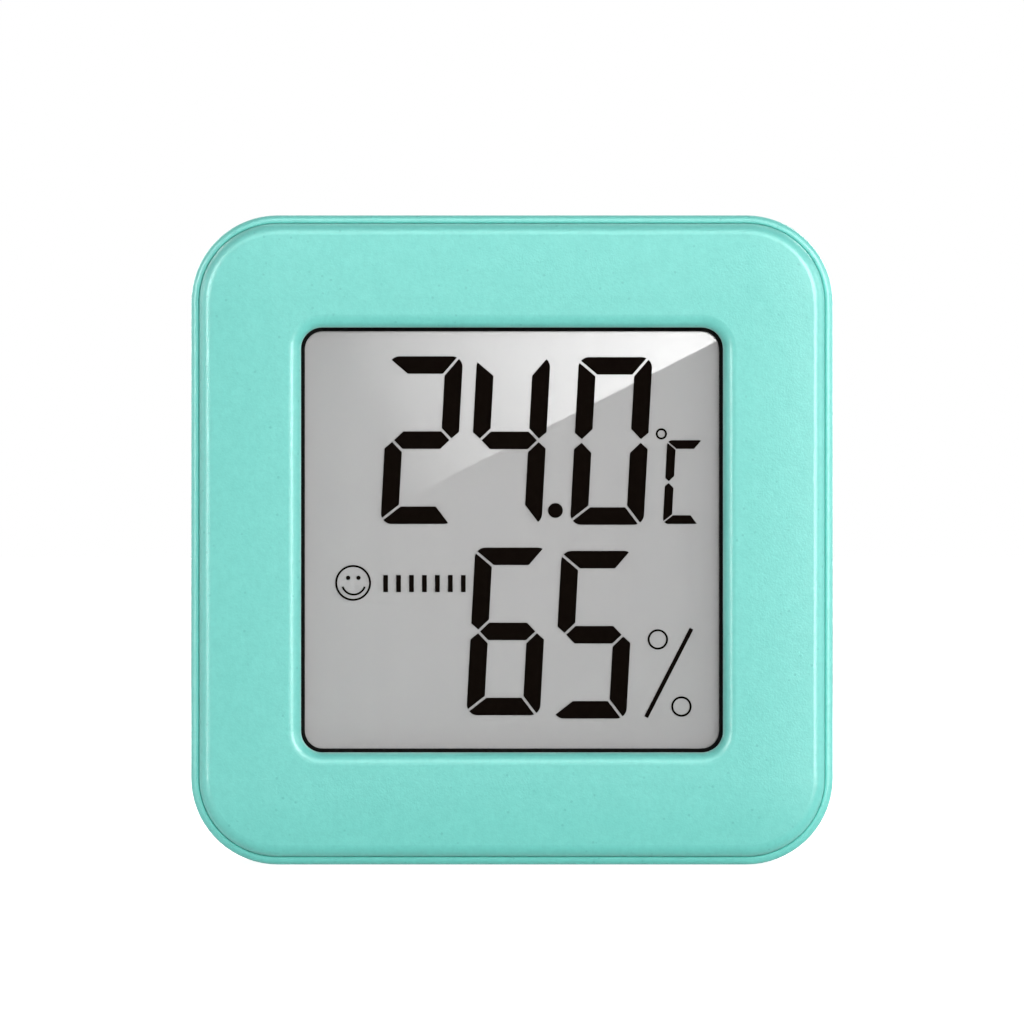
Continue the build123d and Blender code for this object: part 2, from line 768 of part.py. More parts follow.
# Small signs: degree ring and scale letter, percent sign, comfort face and a plain row of bars
with BuildPart() as lcd_signs:
    with BuildSketch(facing(crystal_level)):
        for middle, radius in (
            (degree_share, degree_radius_share * view_width),
            (percent_ring_shares[0], percent_ring_radius),
            (percent_ring_shares[1], percent_ring_radius),
            (face_share, face_radius_share * view_width),
        ):
            with Locations(on_view(middle)):
                ring(radius)
        with Locations(on_view(scale_letter_share)):
            add(seven_segment("afed", scale_letter_size_share))
        with BuildLine():
            slash = Line(*(on_view(share) for share in percent_slash_shares))
        trace(slash, line_width=slash_width_share * view_width)
        with BuildLine():
            mouth = ThreePointArc(*(on_view(share) for share in mouth_shares))
        trace(mouth, line_width=line_width)
        for share in eye_shares:
            with Locations(on_view(share)):
                Circle(eye_radius_share * view_width)
        for bar in range(bar_count):
            across = bar_first_share[0] + bar * bar_pitch_share
            with Locations(on_view((across, bar_first_share[1]))):
                Rectangle(bar_width_share * view_width, bar_height_share * view_height)
    extrude(amount=-segment_thickness)
lcd_signs.part.label = "lcd_signs"
export_step(lcd_signs.part, "parts/lcd_signs.step")

# Holder that frames the display and stands on the board, open at the contact strip
with BuildPart() as lcd_holder:
    holder_middle = middle_height - front_glass_drop
    with BuildSketch(facing(board_level, holder_middle)):
        Rectangle(holder_width, holder_height)
    extrude(amount=holder_level - board_level)
    with BuildSketch(facing(reflector_back_level, holder_middle)):
        Rectangle(holder_width - 2 * holder_wall, holder_height - 2 * holder_wall)
    extrude(amount=holder_level - reflector_back_level, mode=Mode.SUBTRACT)
    with BuildSketch(facing(board_level)):
        Rectangle(glass_width - 2 * holder_ledge, glass_height - 2 * holder_ledge)
    extrude(amount=board_standoff, mode=Mode.SUBTRACT)
    with BuildSketch(facing(board_level, strip_height_place)):
        Rectangle(strip_length + 2 * strip_clearance, strip_width + 2 * strip_clearance)
    extrude(amount=board_standoff, mode=Mode.SUBTRACT)
    with BuildSketch(facing(board_level)):
        with GridLocations(2 * holder_pin_x, 0, 2, 1):
            Circle(holder_pin_radius)
    extrude(amount=-board_thickness - holder_pin_tip)
lcd_holder.part.label = "lcd_holder"
export_step(lcd_holder.part, "parts/lcd_holder.step")

# Rubber strip that joins the glass ledge to the board
with BuildPart() as contact_strip:
    with BuildSketch(facing(board_level, strip_height_place)):
        Rectangle(strip_length, strip_width)
    extrude(amount=crystal_level - board_level)
contact_strip.part.label = "contact_strip"
export_step(contact_strip.part, "parts/contact_strip.step")

# Circuit board with its screw holes and the holes for the holder's pins
with BuildPart() as circuit_board:
    with BuildSketch(facing(board_level)):
        RectangleRounded(board_width, board_height, board_radius)
        with GridLocations(2 * boss_x, 2 * boss_v, 2, 2):
            Circle(screw_radius + board_hole_clearance, mode=Mode.SUBTRACT)
        with GridLocations(2 * holder_pin_x, 0, 2, 1):
            Circle(holder_pin_radius + holder_pin_clearance, mode=Mode.SUBTRACT)
    extrude(amount=-board_thickness)
circuit_board.part.label = "circuit_board"
export_step(circuit_board.part, "parts/circuit_board.step")

# Screws from the back of the board into the corner posts
with BuildPart() as board_screws:
    with BuildSketch(facing(board_back_level)):
        with GridLocations(2 * boss_x, 2 * boss_v, 2, 2):
            Circle(screw_head_radius)
    extrude(amount=-screw_head_height)
    fillet(
        board_screws.faces().filter_by(Plane.XZ).group_by(Axis.Y)[-1].edges(),
        radius=screw_head_rounding,
    )
    with BuildSketch(facing(board_back_level)):
        with GridLocations(2 * boss_x, 2 * boss_v, 2, 2):
            Circle(screw_radius)
    extrude(amount=screw_length)
    with BuildSketch(facing(board_back_level - screw_head_height)):
        with GridLocations(2 * boss_x, 2 * boss_v, 2, 2):
            Rectangle(screw_recess_length, screw_recess_width)
            Rectangle(screw_recess_width, screw_recess_length)
    extrude(amount=screw_recess_depth, mode=Mode.SUBTRACT)
board_screws.part.label = "board_screws"
export_step(board_screws.part, "parts/board_screws.step")

# Controller under its drop of black resin, in the space behind the display
with BuildPart() as controller_chip:
    with BuildSketch(facing(board_level)):
        Circle(chip_radius)
    extrude(amount=chip_height)
    fillet(controller_chip.faces().sort_by(Axis.Y)[0].edges(), radius=chip_rounding)
controller_chip.part.label = "controller_chip"
export_step(controller_chip.part, "parts/controller_chip.step")

# Humidity and temperature sensor with its small eye, behind the vents
with BuildPart() as humidity_sensor:
    with BuildSketch(facing(board_back_level, upper_row_height, vent_offset)):
        Rectangle(sensor_width, sensor_width)
    extrude(amount=-sensor_height)
    with BuildSketch(
        facing(board_back_level - sensor_height, upper_row_height, vent_offset)
    ):
        Circle(sensor_eye_radius)
    extrude(amount=sensor_eye_depth, mode=Mode.SUBTRACT)
humidity_sensor.part.label = "humidity_sensor"
export_step(humidity_sensor.part, "parts/humidity_sensor.step")

# Clock crystal in its metal-lidded case
with BuildPart() as clock_crystal:
    crystal_place = case_height - crystal_from_top
    with BuildSketch(facing(board_back_level, crystal_place, -crystal_offset)):
        Rectangle(crystal_length, crystal_width)
    extrude(amount=-crystal_height)
    lid_level = board_back_level - crystal_height
    with BuildSketch(facing(lid_level, crystal_place, -crystal_offset)):
        Rectangle(crystal_length - 2 * crystal_lid_inset, crystal_width - 2 * crystal_lid_inset)
    extrude(amount=-crystal_lid_height)
clock_crystal.part.label = "clock_crystal"
export_step(clock_crystal.part, "parts/clock_crystal.step")

with BuildPart() as resistors:
    with BuildSketch(
        facing(board_back_level, case_height - resistor_from_top, -resistor_offset)
    ):
        with GridLocations(resistor_pitch, 0, resistor_count, 1):
            Rectangle(chip_part_width, chip_part_length)
    extrude(amount=-resistor_height)
resistors.part.label = "resistors"
export_step(resistors.part, "parts/resistors.step")

with BuildPart() as capacitors:
    capacitor_x = case_width / 2 - capacitor_from_side
    with BuildSketch(
        facing(board_back_level, case_height - capacitor_from_top, -capacitor_x)
    ):
        with GridLocations(0, capacitor_pitch, 1, capacitor_count):
            Rectangle(chip_part_length, chip_part_width)
    extrude(amount=-capacitor_height)
capacitors.part.label = "capacitors"
export_step(capacitors.part, "parts/capacitors.step")

# Leaf under the cell, humped up from the board to touch its cap
with BuildPart() as negative_contact:
    leaf_plane = Plane.XY.offset(cell_middle_height - leaf_width / 2)
    crown_half = leaf_crown_length / 2
    foot_half = crown_half + leaf_ramp_length
    leaf_half = foot_half + leaf_foot_length
    board_y, cap_y = -board_back_level, -cell_level
    with BuildSketch(leaf_plane):
        with BuildLine():
            Polyline(
                (-leaf_half, board_y),
                (-foot_half, board_y),
                (-crown_half, cap_y - leaf_thickness),
                (crown_half, cap_y - leaf_thickness),
                (foot_half, board_y),
                (leaf_half, board_y),
                (leaf_half, board_y + leaf_thickness),
                (foot_half, board_y + leaf_thickness),
                (crown_half, cap_y),
                (-crown_half, cap_y),
                (-foot_half, board_y + leaf_thickness),
                (-leaf_half, board_y + leaf_thickness),
                close=True,
            )
        make_face()
    extrude(amount=leaf_width)
negative_contact.part.label = "negative_contact"
export_step(negative_contact.part, "parts/negative_contact.step")

# Angle that stands on the board and touches the cell's side
with BuildPart() as positive_contact:
    contact_start = cell_radius + side_contact_gap
    for length, reach in (
        (side_contact_foot, leaf_thickness),
        (leaf_thickness, side_contact_reach),
    ):
        with BuildSketch(around_cell(board_back_level)):
            with PolarLocations(contact_start, 1, side_contact_angle):
                Rectangle(length, side_contact_width, align=(Align.MIN, Align.CENTER))
        extrude(amount=-reach)
positive_contact.part.label = "positive_contact"
export_step(positive_contact.part, "parts/positive_contact.step")

# Coin cell, turned about its own axis: x is the radius and y runs from the cap to the can's base
cell_plane = Plane.XY.offset(cell_middle_height)
cell_axis = Axis((0, 0, cell_middle_height), (0, 1, 0))
cap_face = -cell_level
can_base = -cell_back_level
can_rim = cap_face + can_rim_step
lip_inner = cell_radius - can_lip
cap_flange = cell_radius - can_wall - cell_gasket_thickness
cap_wall_radius = lip_inner - cell_gasket_thickness
flange_face = cap_face + cap_depth
lip_back = can_rim + can_wall
gasket_back = lip_back + cell_gasket_thickness


def turned(points):
    """Turns a closed outline in the plane in hand about the cell's axis."""
    with BuildSketch(cell_plane) as outline:
        Polygon(*points, align=None)
    revolve(outline.sketch, axis=cell_axis)


with BuildPart() as cell_can:
    turned((
        (0, can_base),
        (cell_radius, can_base),
        (cell_radius, can_rim),
        (lip_inner, can_rim),
        (lip_inner, lip_back),
        (cell_radius - can_wall, lip_back),
        (cell_radius - can_wall, can_base - can_wall),
        (0, can_base - can_wall),
    ))
    outer_circles = cell_can.edges().filter_by(GeomType.CIRCLE).group_by(SortBy.RADIUS)[-1]
    fillet(outer_circles, radius=can_edge_radius)
cell_can.part.label = "cell_can"
export_step(cell_can.part, "parts/cell_can.step")

with BuildPart() as cell_gasket:
    turned((
        (cap_wall_radius, can_rim),
        (lip_inner, can_rim),
        (lip_inner, lip_back),
        (cell_radius - can_wall, lip_back),
        (cell_radius - can_wall, flange_face + cell_gasket_thickness),
        (cap_flange, flange_face + cell_gasket_thickness),
        (cap_flange, gasket_back),
        (cap_wall_radius, gasket_back),
    ))
cell_gasket.part.label = "cell_gasket"
export_step(cell_gasket.part, "parts/cell_gasket.step")

with BuildPart() as cell_cap:
    turned((
        (0, cap_face),
        (cap_wall_radius, cap_face),
        (cap_wall_radius, gasket_back),
        (cap_flange, gasket_back),
        (cap_flange, flange_face),
        (cap_wall_radius - cap_wall, flange_face),
        (cap_wall_radius - cap_wall, cap_face + cap_wall),
        (0, cap_face + cap_wall),
    ))
cell_cap.part.label = "cell_cap"
export_step(cell_cap.part, "parts/cell_cap.step")

with BuildPart() as cell_core:
    turned((
        (0, cap_face + cap_wall),
        (cap_wall_radius - cap_wall, cap_face + cap_wall),
        (cap_wall_radius - cap_wall, flange_face),
        (cap_flange, flange_face),
        (cap_flange, can_base - can_wall),
        (0, can_base - can_wall),
    ))
cell_core.part.label = "cell_core"
export_step(cell_core.part, "parts/cell_core.step")

# Battery cover: flange, plug with its skirt, bayonet tabs, coin slot and a sunk mark
with BuildPart() as battery_cover:
    with BuildSketch(around_cell(back_level)):
        Circle(cover_radius)
    extrude(amount=cover_flange_thickness)
    chamfer(battery_cover.faces().sort_by(Axis.Y)[-1].edges(), length=cover_edge_break)
    with BuildSketch(around_cell(seat_level)):
        Circle(cover_skirt_radius)
    extrude(amount=skirt_level - seat_level)
    with BuildSketch(around_cell(skirt_level)):
        tab_sectors(tab_radius, 0, tab_spread)
    extrude(amount=-tab_thickness)
    with BuildSketch(around_cell(cover_inner_level)):
        Circle(cover_skirt_inner_radius)
    extrude(amount=skirt_level - cover_inner_level, mode=Mode.SUBTRACT)
    with BuildSketch(around_cell(back_level)):
        SlotOverall(coin_slot_length, coin_slot_width)
    extrude(amount=coin_slot_depth, mode=Mode.SUBTRACT)
    with BuildSketch(around_cell(back_level)):
        with Locations((0, cover_radius - mark_inset)):
            Circle(mark_radius)
    extrude(amount=mark_depth, mode=Mode.SUBTRACT)
battery_cover.part.label = "battery_cover"
export_step(battery_cover.part, "parts/battery_cover.step")

# Stand: the U with its knuckles, hinge pins and grip grooves
with BuildPart() as stand:
    with BuildSketch(facing(back_level, 0)):
        add(stand_outline(0, hinge_height))
    extrude(amount=stand_thickness)
    chamfer(stand.faces().sort_by(Axis.Y)[-1].edges(), length=stand_edge_break)
    for side in (-1, 1):
        knuckle_plane = Plane(
            origin=(side * stand_leg_inner, -hinge_level, hinge_height), z_dir=(side, 0, 0)
        )
        with BuildSketch(knuckle_plane):
            Circle(knuckle_radius)
        extrude(amount=stand_leg_width)
        with BuildSketch(knuckle_plane):
            Circle(hinge_pin_radius)
        extrude(amount=stand_leg_width + hinge_pin_length)
    with BuildSketch(facing(back_level, stand_bottom + stand_bar_height / 2)):
        with GridLocations(0, grip_groove_spacing, 1, grip_groove_count):
            SlotOverall(grip_groove_length, grip_groove_width)
    extrude(amount=grip_groove_depth, mode=Mode.SUBTRACT)
stand.part.label = "stand"
export_step(stand.part, "parts/stand.step")

# Unit button: head in the hole, flange behind the wall, stem that reaches the switch
with BuildPart() as unit_button:
    with BuildSketch(facing(back_level + button_recess, upper_row_height, -button_offset)):
        Circle(button_radius)
    extrude(amount=back_wall - button_recess + button_flange_gap)
    chamfer(unit_button.faces().sort_by(Axis.Y)[-1].edges(), length=button_edge_break)
    with BuildSketch(facing(back_level + button_recess, upper_row_height, -button_offset)):
        Circle(button_dish_radius)
    extrude(amount=button_dish_depth, mode=Mode.SUBTRACT)
    flange_level = back_inner_level + button_flange_gap
    with BuildSketch(facing(flange_level, upper_row_height, -button_offset)):
        Circle(button_flange_radius)
    extrude(amount=button_flange_thickness)
    with BuildSketch(facing(flange_level, upper_row_height, -button_offset)):
        Circle(button_stem_radius)
    extrude(amount=plunger_level - flange_level)
unit_button.part.label = "unit_button"
export_step(unit_button.part, "parts/unit_button.step")

# Plunger of the switch, which the button's stem presses
with BuildPart() as switch_plunger:
    with BuildSketch(facing(plunger_level, upper_row_height, -button_offset)):
        Circle(plunger_radius)
    extrude(amount=plunger_proud + plunger_depth)
switch_plunger.part.label = "switch_plunger"
export_step(switch_plunger.part, "parts/switch_plunger.step")

# Switch body on the board
with BuildPart() as switch_body:
    with BuildSketch(facing(board_back_level, upper_row_height, -button_offset)):
        Rectangle(switch_width, switch_width)
    extrude(amount=-switch_height)
    chamfer(switch_body.faces().sort_by(Axis.Y)[-1].edges(), length=switch_edge_break)
    with BuildSketch(facing(switch_level, upper_row_height, -button_offset)):
        Circle(plunger_radius + plunger_clearance)
    extrude(amount=plunger_hole_depth, mode=Mode.SUBTRACT)
switch_body.part.label = "switch_body"
export_step(switch_body.part, "parts/switch_body.step")

print(f"case {case_width:.2f} x {case_height:.2f} x {case_depth:.2f} mm")
print(f"cell axis {cell_middle_height:.3f}, hinge at y {-hinge_level:.3f} z {hinge_height:.3f}")
print(f"button at x {-button_offset:.3f} z {upper_row_height:.3f}")
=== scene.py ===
import math

import bpy
import numpy as np
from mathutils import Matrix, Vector


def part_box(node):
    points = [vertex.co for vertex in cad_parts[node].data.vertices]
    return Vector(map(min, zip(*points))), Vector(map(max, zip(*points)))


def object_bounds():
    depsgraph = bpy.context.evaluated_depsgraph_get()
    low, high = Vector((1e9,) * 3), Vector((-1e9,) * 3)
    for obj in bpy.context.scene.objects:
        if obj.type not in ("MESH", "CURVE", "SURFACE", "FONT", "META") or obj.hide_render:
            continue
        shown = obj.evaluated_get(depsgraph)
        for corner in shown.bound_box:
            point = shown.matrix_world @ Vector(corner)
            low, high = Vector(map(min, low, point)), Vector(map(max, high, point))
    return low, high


bl_info = {
    "name": "Pocket temperature and humidity sensor",
    "version": (1, 0, 0),
    "blender": (4, 5, 0),
    "location": "View3D > Sidebar > Sensor",
    "description": "Finishes the packed model of a small indoor sensor and builds its studio",
    "category": "Object",
}

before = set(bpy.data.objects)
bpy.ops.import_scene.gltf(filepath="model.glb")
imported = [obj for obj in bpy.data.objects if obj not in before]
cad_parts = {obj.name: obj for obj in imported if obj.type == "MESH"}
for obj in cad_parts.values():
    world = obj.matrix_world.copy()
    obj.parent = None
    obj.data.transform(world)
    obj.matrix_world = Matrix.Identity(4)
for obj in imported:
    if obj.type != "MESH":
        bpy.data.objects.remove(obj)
CAD_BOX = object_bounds()
MM = 0.001

# Range that most of a noise's values lie in
NOISE_RANGE = (0.3, 0.7)

# Share of a chip's length that its body takes up between the tinned ends
RESISTOR_BODY_SHARE = 0.65
CAPACITOR_BODY_SHARE = 0.6
CRYSTAL_LID_THICKNESS = 0.12 * MM

# The gap keeps the floor off the face that the object stands on. The glow is light that only the
# camera sees on the floor, so that together with the lamps' light it comes out white.
FLOOR_REACH = 4.0
FLOOR_POINTS = 9
FLOOR_GAP = 0.02 * MM
FLOOR_GLOW = 0.88

# Lamps in front: place, then width and height, all in metres
KEY_LAMP = ((0.19, -0.25, 0.07), (0.16, 0.16))
FRONT_LAMP = ((0.06, -0.5, 0.045), (0.2, 0.08))

# Lamps round the object: place, then width and height, all in metres, then power in watts, and
# whether gloss mirrors them
ROUND_LAMPS = {
    "right_lamp": ((0.42, -0.06, 0.14), (0.25, 0.25), 0.85, True),
    "left_lamp": ((-0.42, 0.02, 0.1), (0.25, 0.12), 0.35, True),
    "back_lamp": ((0.0, 0.4, 0.35), (0.3, 0.3), 2.3, False),
}

# Strip lamps: azimuth and rise in degrees, width and height in metres, and how many times the
# strips' strength each has
STRIP_LAMPS = {
    "right_strip": (32, 12, (0.16, 0.3), 1.1),
    "left_strip": (-43, 12, (0.07, 0.3), 0.78),
    "upper_strip": (0, 38, (0.3, 0.26), 0.5),
    "back_right_strip": (150, 20, (0.16, 0.3), 0.5),
    "back_left_strip": (-145, 20, (0.16, 0.3), 0.4),
}
STRIP_DISTANCE = 500 * MM

# The glare on the display, in places (x, z) at the case's face: both ends of its lower edge, and
# where it is at its faintest. Then how far the card runs along that edge and up from it.
GLARE_LOW_END = (-7.15 * MM, 24.48 * MM)
GLARE_HIGH_END = (13.21 * MM, 34.8 * MM)
GLARE_FAINTEST = (-12.17 * MM, 34.8 * MM)
CARD_START = -90 * MM
CARD_END = 130 * MM
CARD_HEIGHT = 120 * MM

SENSOR_WIDTH = 36.0  # of the camera's film, the one length here that is set in millimetres
CLIP_START = 10 * MM


# Sizes and colours that a user would change


class CaseLook(bpy.types.PropertyGroup):
    """Moulded plastic of the case, the battery cover, the stand and the button."""

    colour: bpy.props.FloatVectorProperty(
        name="Colour",
        description="Mint green of the plastic between its flecks",
        subtype="COLOR",
        size=3,
        min=0.0,
        max=1.0,
        default=(0.166, 0.612, 0.546),
    )
    grain_size: bpy.props.FloatProperty(
        name="Grain size",
        description="Distance from one grain of the moulded texture to the next",
        unit="LENGTH",
        default=0.14 * MM,
        min=0.01 * MM,
    )
    grain_depth: bpy.props.FloatProperty(
        name="Grain depth",
        description="Height of the moulded texture",
        unit="LENGTH",
        default=0.013 * MM,
        min=0.0,
    )
    roughness: bpy.props.FloatProperty(
        name="Roughness",
        description="How matt the plastic is",
        subtype="FACTOR",
        default=0.33,
        min=0.0,
        max=1.0,
    )


class DisplayLook(bpy.types.PropertyGroup):
    """Window, films, glass and segments of the display."""

    reflector: bpy.props.FloatVectorProperty(
        name="Reflector",
        description="Grey that shows behind the segments",
        subtype="COLOR",
        size=3,
        min=0.0,
        max=1.0,
        default=(0.484, 0.475, 0.472),
    )
    film_tint: bpy.props.FloatProperty(
        name="Film tint",
        description="Share of the light that each face of the polarising film lets through",
        subtype="FACTOR",
        default=0.96,
        min=0.0,
        max=1.0,
    )
    segment: bpy.props.FloatVectorProperty(
        name="Segments",
        description="Colour of the driven segments",
        subtype="COLOR",
        size=3,
        min=0.0,
        max=1.0,
        default=(0.006, 0.004, 0.003),
    )


class StageLook(bpy.types.PropertyGroup):
    """Floor, world, lamps and camera."""

    field_width: bpy.props.FloatProperty(
        name="Field width",
        description="Width that the camera sees at the face of the case",
        unit="LENGTH",
        default=68.43 * MM,
        min=1.0 * MM,
    )
    camera_distance: bpy.props.FloatProperty(
        name="Camera distance",
        description="From the lens to the face of the case",
        unit="LENGTH",
        default=600.0 * MM,
        min=50.0 * MM,
    )
    camera_height: bpy.props.FloatProperty(
        name="Camera height",
        description="Height of the lens above the floor",
        unit="LENGTH",
        default=23.62 * MM,
        min=0.0,
    )
    key_strength: bpy.props.FloatProperty(
        name="Key lamp",
        description="Power of the lamp in front of the object at the right",
        unit="POWER",
        default=0.12,
        min=0.0,
    )
    front_strength: bpy.props.FloatProperty(
        name="Front lamp",
        description="Power of the broad lamp near the camera, which reaches into the display",
        unit="POWER",
        default=1.38,
        min=0.0,
    )
    strip_strength: bpy.props.FloatProperty(
        name="Strip lamps",
        description="Power that each lamp that glints along the rounded edges has a share of",
        unit="POWER",
        default=3.0,
        min=0.0,
    )
    ambient: bpy.props.FloatProperty(
        name="Ambient",
        description="Strength of the world's even light on the object",
        subtype="FACTOR",
        default=0.22,
        min=0.0,
    )
    card_strength: bpy.props.FloatProperty(
        name="Glare card",
        description="Brightness, at its brightest, of the white card that the display mirrors",
        default=9.3,
        min=0.0,
    )


# Node materials


class Finish:
    """A node material in the making. Its patterns read Object coordinates, in metres."""

    def __init__(self, name):
        self.material = bpy.data.materials.new(name)
        self.material.use_nodes = True
        self.tree = self.material.node_tree
        self.tree.nodes.clear()
        self.output = self.node("OutputMaterial")
        self.where = self.node("TexCoord").outputs["Object"]

    def node(self, kind, sockets=None, **settings):
        """Adds a node, with its settings, and with values or links in its sockets."""
        made = self.tree.nodes.new("ShaderNode" + kind)
        for name, value in settings.items():
            setattr(made, name, value)
        for name, value in (sockets or {}).items():
            self.give(made.inputs[name], value)
        return made

    def give(self, socket, value):
        """Links a socket to another one, or sets its value."""
        if isinstance(value, bpy.types.NodeSocket):
            self.tree.links.new(value, socket)
        else:
            socket.default_value = value

    def maths(self, operation, *values):
        """One or two numbers or sockets in, one socket out."""
        made = self.node("Math", operation=operation)
        for socket, value in zip(made.inputs, values):
            self.give(socket, value)
        return made.outputs[0]

    def along(self, axis):
        """The coordinate along an axis, in metres."""
        return self.node("SeparateXYZ", {"Vector": self.where}).outputs[axis]

    def noise(self, size, detail=2.0, stretch=(1, 1, 1), rough=0.5):
        """Soft noise whose features are about one size apart, and drawn out along an axis where
        its stretch is under 1."""
        place = self.node("Mapping", {"Vector": self.where, "Scale": stretch})
        made = self.node(
            "TexNoise",
            {
                "Vector": place.outputs[0],
                "Scale": 1.0 / size,
                "Detail": detail,
                "Roughness": rough,
            },
        )
        return made.outputs["Fac"]

    def cells(self, size, distance="EUCLIDEAN"):
        """Distance to the nearest of points that lie about one size apart, over that size."""
        made = self.node(
            "TexVoronoi", {"Vector": self.where, "Scale": 1.0 / size}, distance=distance
        )
        return made.outputs["Distance"]

    def spread(self, value, low, high, to_low=0.0, to_high=1.0):
        """Stretches the range low to high onto another one, and stops at its ends."""
        made = self.node(
            "MapRange",
            {
                "Value": value,
                "From Min": low,
                "From Max": high,
                "To Min": to_low,
                "To Max": to_high,
            },
        )
        return made.outputs[0]

    def blend(self, share, first, second):
        """Colour between two, by a share."""
        made = self.node("Mix", data_type="RGBA")
        self.give(made.inputs[0], share)
        self.give(made.inputs[6], self.opaque(first))
        self.give(made.inputs[7], self.opaque(second))
        return made.outputs[2]

    def wander(self, noise, first, second):
        """Colour that wanders between two as a noise does."""
        return self.blend(self.spread(noise, *NOISE_RANGE), first, second)

    def opaque(self, colour):
        """The colour with an alpha of 1, or the socket as it is."""
        return colour if isinstance(colour, bpy.types.NodeSocket) else (*colour[:3], 1.0)

    def bump(self, height, depth, under=None):
        """Normal of a relief: height is from 0 to 1 and depth is in metres."""
        made = self.node("Bump", {"Height": height, "Distance": depth, "Strength": 1.0})
        if under is not None:
            self.give(made.inputs["Normal"], under)
        return made.outputs[0]

    def shade(self, colour, roughness, normal=None, **sockets):
        """Ends the material in a Principled shader."""
        made = self.node("BsdfPrincipled")
        self.give(made.inputs["Base Color"], self.opaque(colour))
        self.give(made.inputs["Roughness"], roughness)
        if normal is not None:
            self.give(made.inputs["Normal"], normal)
        for name, value in sockets.items():
            self.give(made.inputs[name], value)
        self.end(made.outputs[0])
        return self.material

    def end(self, shader):
        """Shows a shader on the surface."""
        self.tree.links.new(shader, self.output.inputs["Surface"])


def darker(colour, share):
    """The colour times a share."""
    return tuple(share * c for c in colour[:3])


def deeper(colour, share):
    """The colour times a share, which changes its red most, so a darker one is a purer green."""
    return (share**1.7 * colour[0], share * colour[1], share * colour[2])


def paint(material, *names):
    """Gives CAD nodes a material."""
    for name in names:
        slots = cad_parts[name].data.materials
        slots.clear()
        slots.append(material)


def let_light_by(*names):
    """Clear layers cast no shadow and stop no bounced light. Counted twice, on the way in and out,
    they would use up the renderer's transparent bounces, and what lies behind would turn black."""
    for name in names:
        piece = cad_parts[name]
        piece.visible_shadow = False
        piece.visible_diffuse = False
        piece.visible_glossy = False


def moulded_plastic(look):
    """Satin plastic: a faint mottle, sparse darker specks and a fine moulded grain."""
    finish = Finish("moulded_plastic")
    colour = tuple(look.colour)
    blotch = finish.noise(1.2 * MM, detail=3.0)
    mottle = finish.noise(0.35 * MM, detail=3.0, rough=0.7)
    base = finish.wander(blotch, deeper(colour, 0.975), deeper(colour, 1.02))
    base = finish.blend(finish.spread(mottle, 0.4, 0.7, 0.0, 0.6), base, deeper(colour, 0.89))
    speck = finish.spread(finish.cells(0.7 * MM), 0.16, 0.1)
    rare = finish.spread(finish.noise(1.7 * MM, detail=1.0), 0.5, 0.56)
    share = finish.maths("MULTIPLY", finish.maths("MULTIPLY", speck, rare), 0.6)
    base = finish.blend(share, base, deeper(colour, 0.75))
    grain = finish.noise(look.grain_size, detail=3.0, rough=0.6)
    swell = finish.noise(1.6 * MM, detail=1.0)
    normal = finish.bump(swell, 0.012 * MM)
    normal = finish.bump(grain, look.grain_depth, normal)
    rough = finish.spread(grain, *NOISE_RANGE, look.roughness - 0.05, look.roughness + 0.06)
    return finish.shade(base, rough, normal)


def black_foam():
    """Fine closed-cell foam."""
    finish = Finish("black_foam")
    pores = finish.cells(0.12 * MM)
    normal = finish.bump(pores, 0.03 * MM)
    tone = finish.blend(finish.spread(pores, 0.1, 0.6), (0.003, 0.003, 0.003), (0.011, 0.011, 0.01))
    return finish.shade(tone, 0.8, normal, **{"Specular IOR Level": 0.0})


def clear_sheet(name, tint, roughness, spots):
    """Clear coated sheet with faint spots: each face lets through the tint, and mirrors only what
    comes in at a slant, as an anti-glare coat does."""
    finish = Finish(name)
    haze = finish.noise(3.0 * MM, detail=2.0)
    specks = finish.spread(finish.noise(0.2 * MM, detail=0.0), 0.82, 0.86, 0.0, spots)
    clear = (tint,) * 3
    colour = finish.blend(finish.spread(haze, 0.2, 0.8), clear, darker(clear, 0.995))
    colour = finish.blend(specks, colour, darker(clear, 0.9))
    through = finish.node("BsdfTransparent", {"Color": colour})
    mirror = finish.node("BsdfGlossy", {"Color": (1, 1, 1, 1), "Roughness": roughness})
    slant = finish.node("LayerWeight", {"Blend": 0.5}).outputs["Facing"]
    steepness, most = 3.0, 0.8
    share = finish.maths("MULTIPLY", finish.maths("POWER", slant, steepness), most)
    mixed = finish.node("MixShader")
    finish.give(mixed.inputs[0], share)
    finish.give(mixed.inputs[1], through.outputs[0])
    finish.give(mixed.inputs[2], mirror.outputs[0])
    finish.end(mixed.outputs[0])
    return finish.material


def film(name, tint):
    """Thin film that only dims what is behind it."""
    finish = Finish(name)
    streaks = finish.noise(0.8 * MM, detail=2.0, stretch=(1, 1, 0.05))
    clear = (tint,) * 3
    colour = finish.wander(streaks, clear, darker(clear, 0.995))
    finish.end(finish.node("BsdfTransparent", {"Color": colour}).outputs[0])
    return finish.material


def segment_layer(look):
    """Driven liquid crystal: almost black, with the faintest unevenness."""
    finish = Finish("segment_layer")
    colour = tuple(look.segment)
    cloud = finish.noise(0.6 * MM, detail=2.0)
    tone = finish.wander(cloud, darker(colour, 0.9), darker(colour, 1.1))
    return finish.shade(tone, 0.7, **{"Specular IOR Level": 0.0})


def silvery_film(name, look, **gloss):
    """Matt grey film with a fine, even grain, under a gloss where one is given."""
    finish = Finish(name)
    colour = tuple(look.reflector)
    grain = finish.noise(0.09 * MM, detail=1.0)
    cloud = finish.noise(6.0 * MM, detail=1.0)
    tone = finish.wander(grain, darker(colour, 0.985), darker(colour, 1.01))
    tone = finish.blend(finish.spread(cloud, *NOISE_RANGE, 0.0, 0.3), tone, darker(colour, 0.98))
    return finish.shade(tone, 0.6, **{"Specular IOR Level": 0.0}, **gloss)


